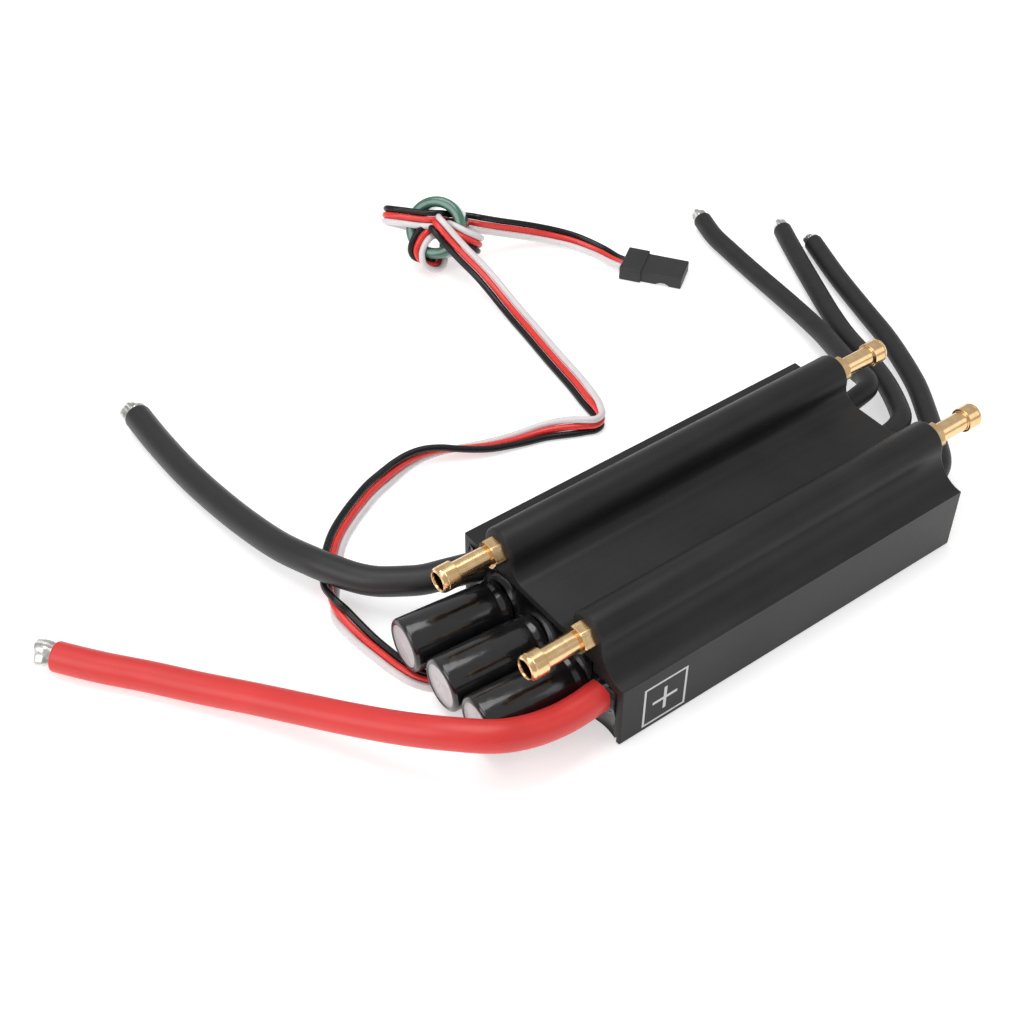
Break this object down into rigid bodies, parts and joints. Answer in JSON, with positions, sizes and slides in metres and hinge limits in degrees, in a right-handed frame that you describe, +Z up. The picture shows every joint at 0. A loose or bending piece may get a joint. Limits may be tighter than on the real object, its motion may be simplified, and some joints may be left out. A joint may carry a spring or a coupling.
{
  "type": "electronic speed controller",
  "caption": "Water-cooled brushless motor speed controller: black ribbed case with hose nipples, sleeved capacitors, thick power leads, and a servo lead wound through a ferrite ring.",
  "frame": {"origin": "on the standing surface, under the middle of the rigid body (case, nipples and capacitors), leads left out", "axes": "+X from the battery end to the motor end, -Y out of the side with the plus mark, +Z up"},
  "size_m": [0.2008, 0.1451, 0.0228],
  "materials": {
    "anodised_case": "black anodised, satin",
    "base_sheet": "black anodised sheet",
    "potting": "glossy black casting resin",
    "brass": "turned, lightly polished",
    "capacitor_can": "drawn, with score marks",
    "capacitor_sleeve": "glossy black shrink sleeve",
    "circuit_board": "solder mask over glass laminate",
    "chip_package": "moulded epoxy",
    "thermal_pad": "soft filled silicone",
    "copper": "bare copper",
    "ceramic_chip": "fired ceramic",
    "ferrite_block": "pressed ferrite",
    "gold_plated": "gold plated",
    "tinned_copper": "tinned strands",
    "red_silicone": "soft satin silicone",
    "black_silicone": "soft satin silicone",
    "grey_black_silicone": "soft matt silicone",
    "servo_black": "glossy wire insulation",
    "servo_red": "glossy wire insulation",
    "servo_white": "glossy wire insulation",
    "servo_turns": "three insulated wires",
    "ferrite_green": "ferrite with a glossy green coat",
    "plug_plastic": "moulded, faintly textured"
  },
  "bodies": {
    "root": {"case": "anodised_case", "base_plate": "base_sheet", "battery_end_potting": "potting", "motor_end_potting": "potting", "nipple_battery_front": "brass", "nipple_battery_rear": "brass", "nipple_motor_front": "brass", "nipple_motor_rear": "brass", "capacitor_front": "capacitor_can", "capacitor_middle": "capacitor_can", "capacitor_rear": "capacitor_can", "sleeve_front": "capacitor_sleeve", "sleeve_middle": "capacitor_sleeve", "sleeve_rear": "capacitor_sleeve", "capacitor_legs": "tinned_copper", "power_board": "circuit_board", "mosfets": "chip_package", "thermal_pad": "thermal_pad", "bus_bars": "copper", "ceramic_capacitors": "ceramic_chip", "current_shunts": "chip_package", "lead_feet": "copper", "control_board": "circuit_board", "processor": "chip_package", "gate_drivers": "chip_package", "regulator": "chip_package", "inductor": "ferrite_block", "header_block": "chip_package", "header_pins": "gold_plated", "battery_lead_red": "red_silicone", "battery_lead_black": "black_silicone", "motor_lead_a": "grey_black_silicone", "motor_lead_b": "grey_black_silicone", "motor_lead_c": "grey_black_silicone", "battery_tip_red": "tinned_copper", "battery_tip_black": "tinned_copper", "motor_tip_a": "tinned_copper", "motor_tip_b": "tinned_copper", "motor_tip_c": "tinned_copper", "servo_wire_black": "servo_black", "servo_wire_red": "servo_red", "servo_wire_white": "servo_white", "servo_winding": "servo_turns", "ferrite_ring": "ferrite_green", "servo_plug": "plug_plastic", "plug_contacts": "gold_plated"}
  },
  "joints": []
}
